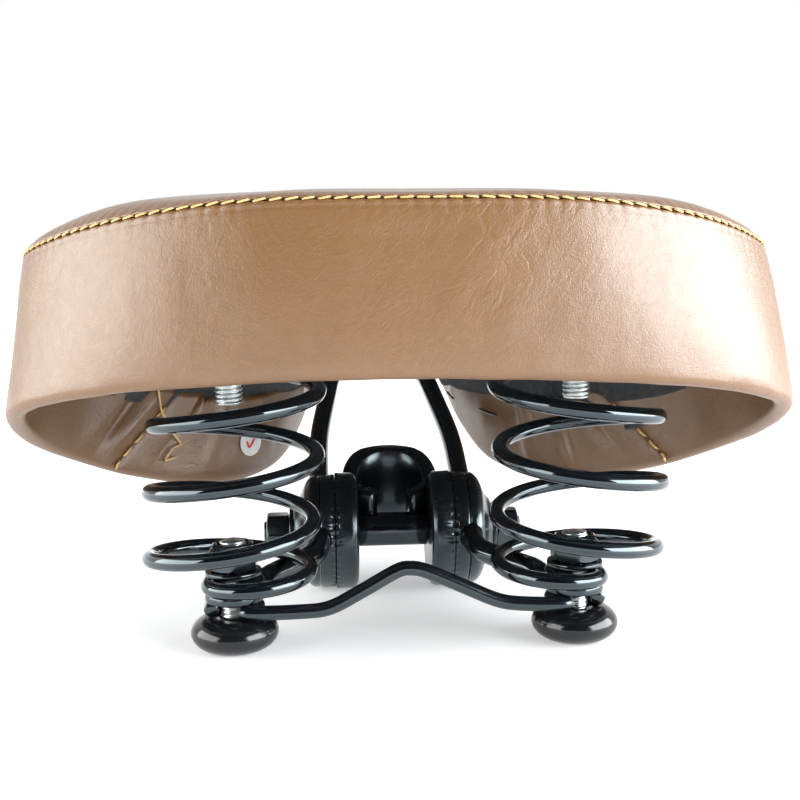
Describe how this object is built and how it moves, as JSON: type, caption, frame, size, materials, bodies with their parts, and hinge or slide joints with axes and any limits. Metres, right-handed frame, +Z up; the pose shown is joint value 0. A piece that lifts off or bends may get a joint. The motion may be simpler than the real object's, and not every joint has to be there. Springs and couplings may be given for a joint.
{
  "type": "sprung bicycle saddle",
  "caption": "Wide padded bicycle saddle with a tan stitched cover, deep skirt, coil springs on a steel undercarriage and a seat-post clamp.",
  "frame": {"origin": "middle of the bounding box at floor level, where the feet and the clamp rest", "axes": "+Z up, +Y to the nose of the saddle, +X to the right of a rider facing the nose"},
  "size_m": [0.2302, 0.2632, 0.13],
  "materials": {
    "tan_cover": "soft pebbled tan cover with amber lockstitch",
    "foam": "open-cell cushion foam",
    "moulded_base": "moulded black plastic",
    "black_felt": "needled black lining",
    "black_steel": "gloss black enamel",
    "spring_steel": "high-gloss black enamel",
    "zinc_steel": "bright zinc plating",
    "foot_rubber": "glossy black moulded cap"
  },
  "bodies": {
    "undercarriage": {"rail_left": "black_steel", "rail_right": "black_steel", "cross_wire": "black_steel", "foot_left": "foot_rubber", "foot_right": "foot_rubber", "stud_left": "zinc_steel", "stud_right": "zinc_steel", "spring_washer_left": "zinc_steel", "spring_washer_right": "zinc_steel", "lock_nut_left": "black_steel", "lock_nut_right": "black_steel", "spring_left": "spring_steel", "spring_right": "spring_steel"},
    "seat": {"cover_top": "tan_cover", "cover_rear_band": "tan_cover", "cover_nose_band": "tan_cover", "foam_pad": "foam", "base_shell": "moulded_base", "felt_liner": "black_felt", "top_bolt_left": "zinc_steel", "top_bolt_right": "zinc_steel", "top_washer_left": "zinc_steel", "top_washer_right": "zinc_steel", "top_nut_left": "zinc_steel", "top_nut_right": "zinc_steel", "nose_bracket": "black_steel", "nose_bolt_rear": "zinc_steel", "nose_bolt_front": "zinc_steel"},
    "clamp": {"inner_cheek_left": "black_steel", "inner_cheek_right": "black_steel", "outer_cheek_left": "black_steel", "outer_cheek_right": "black_steel", "clamp_bolt": "black_steel", "clamp_sleeve": "black_steel", "clamp_washer_left": "black_steel", "clamp_washer_right": "black_steel", "clamp_nut_left": "black_steel", "clamp_nut_right": "black_steel"},
    "collar": {"post_collar": "black_steel"}
  },
  "joints": [
    {"name": "suspension", "type": "hinge", "parent": "undercarriage", "child": "seat", "pos_m": [0, 0.098, 0.0655], "axis": [1, 0, 0], "range_deg": [0, 6], "stiffness_Nm_per_rad": 1300, "springref_deg": -0.11, "deforming": ["spring_left", "spring_right"]},
    {"name": "clamp_slide", "type": "slide", "parent": "undercarriage", "child": "clamp", "axis": [0, 0.9239, 0.3827], "range_m": [-0.001, 0.016]},
    {"name": "collar_tilt", "type": "hinge", "parent": "clamp", "child": "collar", "pos_m": [0, -0.025, 0.0193], "axis": [1, 0, 0], "range_deg": [-15, 20]}
  ]
}
